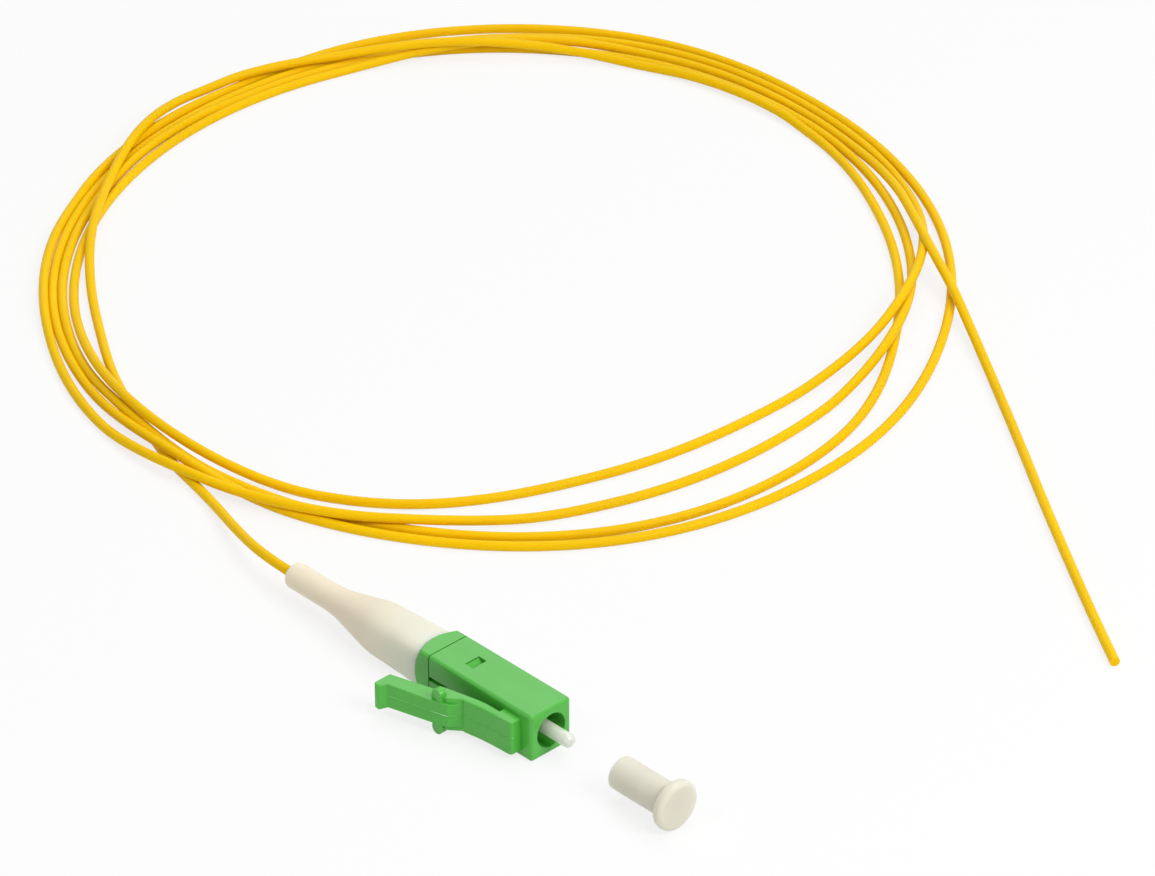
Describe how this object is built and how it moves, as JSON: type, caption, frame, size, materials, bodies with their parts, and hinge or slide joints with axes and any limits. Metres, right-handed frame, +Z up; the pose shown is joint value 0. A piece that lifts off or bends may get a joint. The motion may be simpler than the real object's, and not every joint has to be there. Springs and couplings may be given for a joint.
{
  "type": "fiber pigtail",
  "caption": "Simplex fibre pigtail: square push-pull plug with pressable latch, angled ceramic ferrule, boot, loose coil of tight-buffered fibre with a bare end, and a pulled-off dust cap.",
  "frame": {"origin": "on the plug's axis, in the plane of the housing's front face", "axes": "+X out of the plug along the ferrule, +Z up, latch on the -Y side"},
  "size_m": [0.1277, 0.1014, 0.0046],
  "materials": {
    "green_shell": "satin moulded green plastic",
    "boot_rubber": "matte off-white soft plastic",
    "zirconia": "polished white zirconia ceramic",
    "flange_metal": "turned nickel-plated metal",
    "spring_steel": "drawn stainless wire",
    "clear_tube": "natural fluoropolymer tube",
    "glass_core": "drawn silica",
    "fibre_coating": "clear acrylate",
    "epoxy": "cured amber epoxy",
    "yellow_buffer": "smooth yellow tight buffer",
    "cap_plastic": "soft translucent white plastic"
  },
  "bodies": {
    "plug": {"front_housing": "green_shell", "rear_body": "green_shell", "boot": "boot_rubber", "guide_tube": "clear_tube", "spring": "spring_steel", "fibre_in_plug": "yellow_buffer", "fibre_lead": "yellow_buffer", "fibre_coil": "yellow_buffer", "fibre_tail": "yellow_buffer"},
    "latch": {"latch_lever": "green_shell"},
    "ferrule_group": {"ferrule": "zirconia", "ferrule_flange": "flange_metal", "fibre_glass": "glass_core", "fibre_coating": "fibre_coating", "epoxy_fill": "epoxy", "fibre_buffer_front": "yellow_buffer"},
    "cap": {"dust_cap": "cap_plastic"}
  },
  "joints": [
    {"name": "latch_press", "type": "hinge", "parent": "plug", "child": "latch", "pos_m": [-0.00365, -0.00313, 0], "axis": [0, 0, -1], "range_deg": [0, 12], "stiffness_Nm_per_rad": 0.05},
    {"name": "ferrule_float", "type": "slide", "parent": "plug", "child": "ferrule_group", "axis": [-1, 0, 0], "range_m": [0, 0.0008], "stiffness_N_per_m": 1000, "deforming": ["spring"]},
    {"name": "dust_cap_slide", "type": "slide", "parent": "plug", "child": "cap", "axis": [-1, 0, 0], "range_m": [0, 0.01087]}
  ]
}
